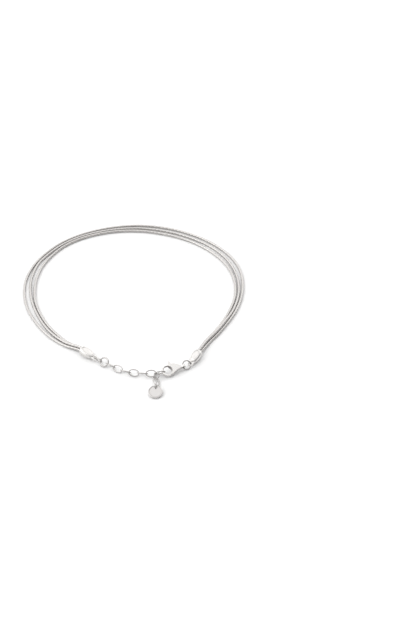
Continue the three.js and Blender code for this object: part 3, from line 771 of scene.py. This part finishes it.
def make_sky(settings):
    """Soft surroundings: white behind the anklet and above it, and dark to the right of the camera."""
    world = bpy.data.worlds.new("Studio")
    bpy.context.scene.world = world
    world.use_nodes = True
    nodes, links = world.node_tree.nodes, world.node_tree.links
    nodes.clear()
    output = nodes.new("ShaderNodeOutputWorld")
    place = nodes.new("ShaderNodeTexCoord")
    split = nodes.new("ShaderNodeSeparateXYZ")
    links.new(place.outputs["Generated"], split.inputs["Vector"])
    behind = sky_ramp(nodes, BRIGHT_SKY)
    before = sky_ramp(nodes, DIM_SKY)
    links.new(split.outputs["Z"], behind.inputs["Fac"])
    links.new(split.outputs["Z"], before.inputs["Fac"])
    turn = nodes.new("ShaderNodeMapRange")
    turn.interpolation_type = "SMOOTHSTEP"
    turn.inputs["From Min"].default_value = SKY_TURN[0]
    turn.inputs["From Max"].default_value = SKY_TURN[1]
    side = nodes.new("ShaderNodeVectorMath")
    side.operation = "DOT_PRODUCT"
    side.inputs[1].default_value = BRIGHT_SIDE
    links.new(place.outputs["Generated"], side.inputs[0])
    links.new(side.outputs["Value"], turn.inputs["Value"])
    mix = nodes.new("ShaderNodeMix")
    mix.data_type = "RGBA"
    links.new(turn.outputs["Result"], mix.inputs["Factor"])
    links.new(before.outputs["Color"], mix.inputs[MIX_A])
    links.new(behind.outputs["Color"], mix.inputs[MIX_B])
    tint = nodes.new("ShaderNodeMix")
    tint.data_type = "RGBA"
    tint.blend_type = "MULTIPLY"
    tint.inputs["Factor"].default_value = 1.0
    tint.inputs[MIX_B].default_value = (*settings.sky_tint, 1.0)
    links.new(mix.outputs[MIX_RESULT], tint.inputs[MIX_A])
    soft = nodes.new("ShaderNodeBackground")
    soft.inputs["Strength"].default_value = settings.sky
    links.new(tint.outputs[MIX_RESULT], soft.inputs["Color"])
    links.new(soft.outputs[0], output.inputs["Surface"])


def make_floor(settings):
    """A pale level floor."""
    half = settings.floor_size / 2
    mesh = bpy.data.meshes.new("floor")
    corners = [(-half, -half, 0.0), (half, -half, 0.0), (half, half, 0.0), (-half, half, 0.0)]
    mesh.from_pydata(corners, [], [(0, 1, 2, 3)])
    floor = bpy.data.objects.new("floor", mesh)
    bpy.context.scene.collection.objects.link(floor)
    material = bpy.data.materials.new("Pale floor")
    material.use_nodes = True
    shader = material.node_tree.nodes["Principled BSDF"]
    shader.inputs["Base Color"].default_value = (*settings.floor_colour, 1.0)
    shader.inputs["Roughness"].default_value = 0.9
    shader.inputs["Specular IOR Level"].default_value = 0.1
    mesh.materials.append(material)


def make_camera(settings):
    """The camera, as high above the floor as the photo's."""
    data = bpy.data.cameras.new("camera")
    data.lens = settings.lens
    camera = bpy.data.objects.new("camera", data)
    back = settings.distance * math.cos(settings.elevation)
    up = settings.distance * math.sin(settings.elevation)
    camera.location = (settings.aim[0], settings.aim[1] - back, settings.aim[2] + up)
    camera.rotation_euler = (math.pi / 2 - settings.elevation, 0.0, 0.0)
    bpy.context.scene.collection.objects.link(camera)
    bpy.context.scene.camera = camera


# Operators


class ANKLET_OT_stage(bpy.types.Operator):
    """Makes the camera, floor and lights"""

    bl_idname = "anklet.stage"
    bl_label = "Stage"

    def execute(self, context):
        settings = context.scene.anklet_stage
        make_camera(settings)
        make_floor(settings)
        make_sky(settings)
        area_light("key", KEY_PLACE, settings.key_size, settings.key)
        area_light("fill", FILL_PLACE, settings.fill_size, settings.fill)
        context.scene.view_settings.view_transform = "Standard"
        return {"FINISHED"}


class ANKLET_OT_strands(bpy.types.Operator):
    """Makes the three snake chain strands"""

    bl_idname = "anklet.strands"
    bl_label = "Strands"

    def execute(self, context):
        make_strands(context.scene.anklet_strand)
        return {"FINISHED"}


class ANKLET_OT_wires(bpy.types.Operator):
    """Makes the links and rings of round wire"""

    bl_idname = "anklet.wires"
    bl_label = "Links and rings"

    def execute(self, context):
        make_wires(context.scene.anklet_wire)
        return {"FINISHED"}


class ANKLET_OT_caps(bpy.types.Operator):
    """Makes the two almond end caps"""

    bl_idname = "anklet.caps"
    bl_label = "End caps"

    def execute(self, context):
        make_caps(context.scene.anklet_casting)
        return {"FINISHED"}


class ANKLET_OT_clasp(bpy.types.Operator):
    """Makes the lobster clasp and its lever"""

    bl_idname = "anklet.clasp"
    bl_label = "Clasp"

    def execute(self, context):
        make_clasp(context.scene.anklet_casting)
        return {"FINISHED"}


class ANKLET_OT_disc(bpy.types.Operator):
    """Makes the small disc drop"""

    bl_idname = "anklet.disc"
    bl_label = "Disc drop"

    def execute(self, context):
        make_disc(context.scene.anklet_casting)
        return {"FINISHED"}


SETTINGS = {
    "anklet_stage": StageSettings,
    "anklet_strand": StrandSettings,
    "anklet_wire": WireSettings,
    "anklet_casting": CastingSettings,
}
OPERATORS = (
    ANKLET_OT_stage,
    ANKLET_OT_strands,
    ANKLET_OT_wires,
    ANKLET_OT_caps,
    ANKLET_OT_clasp,
    ANKLET_OT_disc,
)


class ANKLET_PT_panel(bpy.types.Panel):
    """Settings and steps of the anklet"""

    bl_label = "Silver anklet"
    bl_idname = "ANKLET_PT_panel"
    bl_space_type = "VIEW_3D"
    bl_region_type = "UI"
    bl_category = "Anklet"

    def draw(self, context):
        layout = self.layout
        for name, group in SETTINGS.items():
            box = layout.box()
            box.label(text=group.__doc__)
            settings = getattr(context.scene, name)
            for key in group.__annotations__:
                box.prop(settings, key)
        for operator in OPERATORS:
            layout.operator(operator.bl_idname)


def register():
    for group in SETTINGS.values():
        bpy.utils.register_class(group)
    for name, group in SETTINGS.items():
        setattr(bpy.types.Scene, name, PointerProperty(type=group))
    for operator in OPERATORS:
        bpy.utils.register_class(operator)
    bpy.utils.register_class(ANKLET_PT_panel)


def unregister():
    bpy.utils.unregister_class(ANKLET_PT_panel)
    for operator in reversed(OPERATORS):
        bpy.utils.unregister_class(operator)
    for name in SETTINGS:
        delattr(bpy.types.Scene, name)
    for group in SETTINGS.values():
        bpy.utils.unregister_class(group)


def main():
    register()
    bpy.ops.anklet.stage()
    bpy.ops.anklet.strands()
    bpy.ops.anklet.wires()
    bpy.ops.anklet.caps()
    bpy.ops.anklet.clasp()
    bpy.ops.anklet.disc()


if __name__ == "__main__":
    main()
